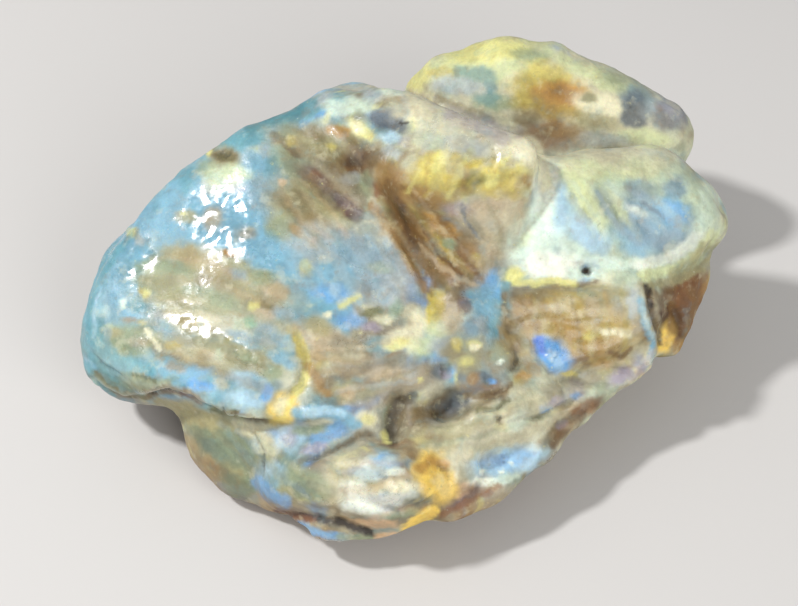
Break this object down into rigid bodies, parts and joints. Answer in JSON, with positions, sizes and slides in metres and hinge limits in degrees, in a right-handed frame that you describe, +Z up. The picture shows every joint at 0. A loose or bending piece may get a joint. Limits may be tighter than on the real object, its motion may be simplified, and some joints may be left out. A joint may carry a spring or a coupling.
{
  "type": "rough blue amber lump",
  "caption": "Rough, knobbly lump of blue amber with a glossy worn dome, a raised crown and a cracked, pitted front, lying on a flat of its underside.",
  "frame": {"origin": "on the resting surface, under the middle of the lump's bounding box", "axes": "+X to the right along the lump's length, +Y to the back, +Z up"},
  "size_m": [0.064, 0.0539, 0.0294],
  "materials": {
    "blue_amber": "glossy, worn amber skin over a cloudy body, sky blue, teal, cream, yellow and brown in patches"
  },
  "bodies": {
    "root": {"amber_lump": "blue_amber"}
  },
  "joints": []
}
